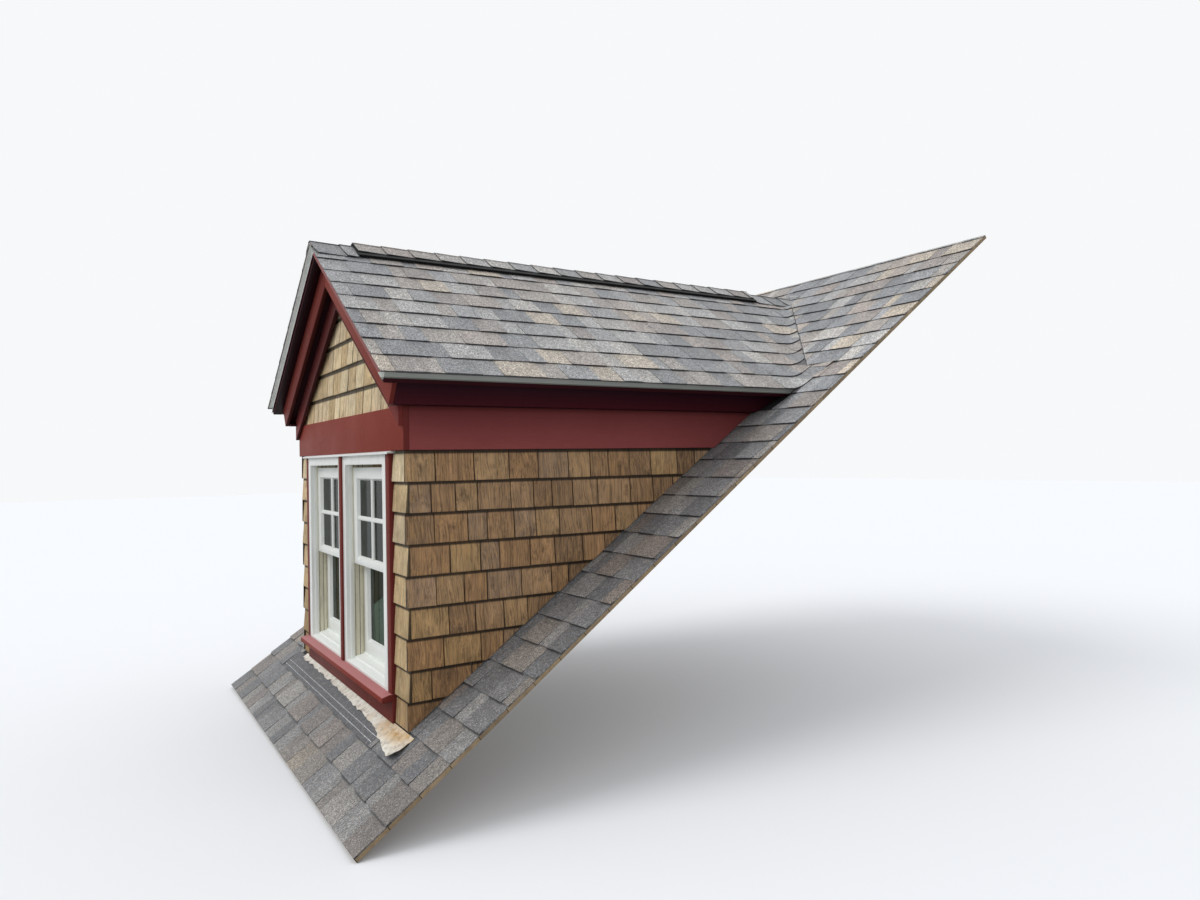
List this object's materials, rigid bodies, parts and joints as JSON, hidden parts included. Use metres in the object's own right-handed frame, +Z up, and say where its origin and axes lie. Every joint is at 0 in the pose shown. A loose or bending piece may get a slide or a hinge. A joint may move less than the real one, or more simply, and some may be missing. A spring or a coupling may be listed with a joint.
{
  "type": "dormer window",
  "caption": "Gable roof dormer with paired double-hung windows, brown wood shingle cheeks, dark red trim and an asphalt shingle roof, on its strip of sloping roof.",
  "frame": {"origin": "in the underside of the carrying roof's deck, at the middle of the dormer's width, under the outer face of the front wall's boards", "axes": "+X along the front wall, to the right for someone who faces the windows; +Y horizontally into the roof; +Z up"},
  "size_m": [2.68, 3.6478, 2.6014],
  "materials": {
    "asphalt": "mineral granules, matt",
    "roof_board": "plain boards",
    "framing": "sawn timber",
    "membrane": "torn, stained",
    "flashing_metal": "plain sheet",
    "drip_metal": "satin grey",
    "white_metal": "satin white",
    "cedar_light": "weathered, pale",
    "cedar_brown": "oiled brown",
    "red_paint": "painted brick red",
    "maroon_paint": "painted maroon",
    "vent_plastic": "black",
    "white_paint": "semi-gloss white",
    "cream_vinyl": "cream",
    "pane_glass": "clear"
  },
  "bodies": {
    "root": {"collar_deck": "roof_board", "collar_shingles_front": "asphalt", "collar_shingles_left": "asphalt", "collar_shingles_right": "asphalt", "collar_shingles_top": "asphalt", "apron_flashing": "membrane", "step_flashing": "flashing_metal", "front_wall": "framing", "cheek_wall_left": "framing", "cheek_wall_right": "framing", "ridge_board": "framing", "rafters": "framing", "roof_deck_left": "roof_board", "roof_deck_right": "roof_board", "front_shingles": "cedar_light", "cheek_shingles_left": "cedar_brown", "cheek_shingles_right": "cedar_brown", "gable_shingles": "cedar_light", "frieze_front": "red_paint", "frieze_left": "maroon_paint", "frieze_right": "maroon_paint", "eave_fascia_left": "maroon_paint", "eave_fascia_right": "maroon_paint", "eave_mould": "maroon_paint", "eave_soffit": "maroon_paint", "rake_board_left": "red_paint", "rake_board_right": "red_paint", "rake_mould": "maroon_paint", "rake_frieze": "red_paint", "rake_soffit": "maroon_paint", "drip_edge": "drip_metal", "roof_shingles_left": "asphalt", "roof_shingles_right": "asphalt", "ridge_vent": "vent_plastic", "ridge_caps": "asphalt", "head_flashing": "white_metal", "window_casings": "red_paint", "window_sill": "red_paint", "apron_board": "red_paint", "window_frame_left": "white_paint", "window_frame_right": "white_paint", "jamb_tracks": "cream_vinyl", "upper_sashes": "white_paint", "lower_sashes": "white_paint", "window_glass": "pane_glass"}
  },
  "joints": []
}
